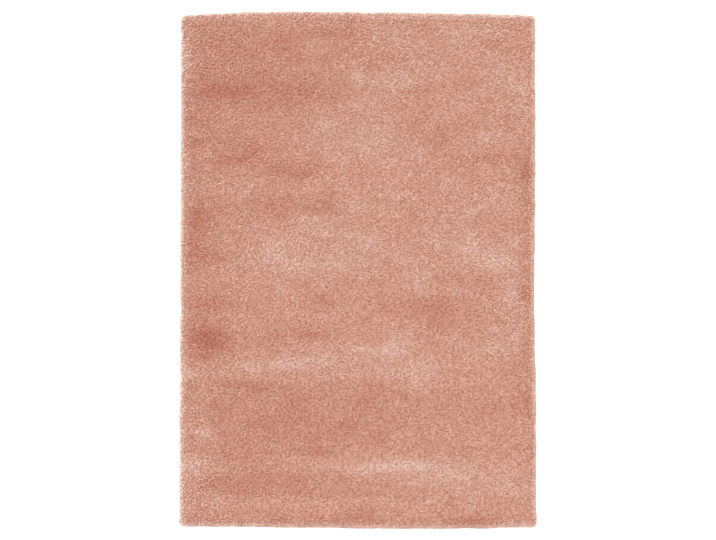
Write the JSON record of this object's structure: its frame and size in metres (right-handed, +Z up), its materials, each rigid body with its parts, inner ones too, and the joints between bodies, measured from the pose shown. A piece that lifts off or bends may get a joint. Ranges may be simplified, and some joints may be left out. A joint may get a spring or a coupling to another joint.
{
  "type": "low pile rug",
  "caption": "Flat rectangular floor rug with a soft, even cut pile in dusty pink, gently bowed ends and a plain, unbound pile rim.",
  "frame": {"origin": "middle of the rug's outline, on the surface that it lies on", "axes": "+Y runs along the length to the head end, +X across the width, +Z up out of the pile"},
  "size_m": [1.3456, 1.95, 0.0166],
  "materials": {
    "pile": "soft matt cut pile, dusty salmon pink, with brushed lighter and darker strokes"
  },
  "bodies": {
    "root": {"pile_rug": "pile"}
  },
  "joints": []
}
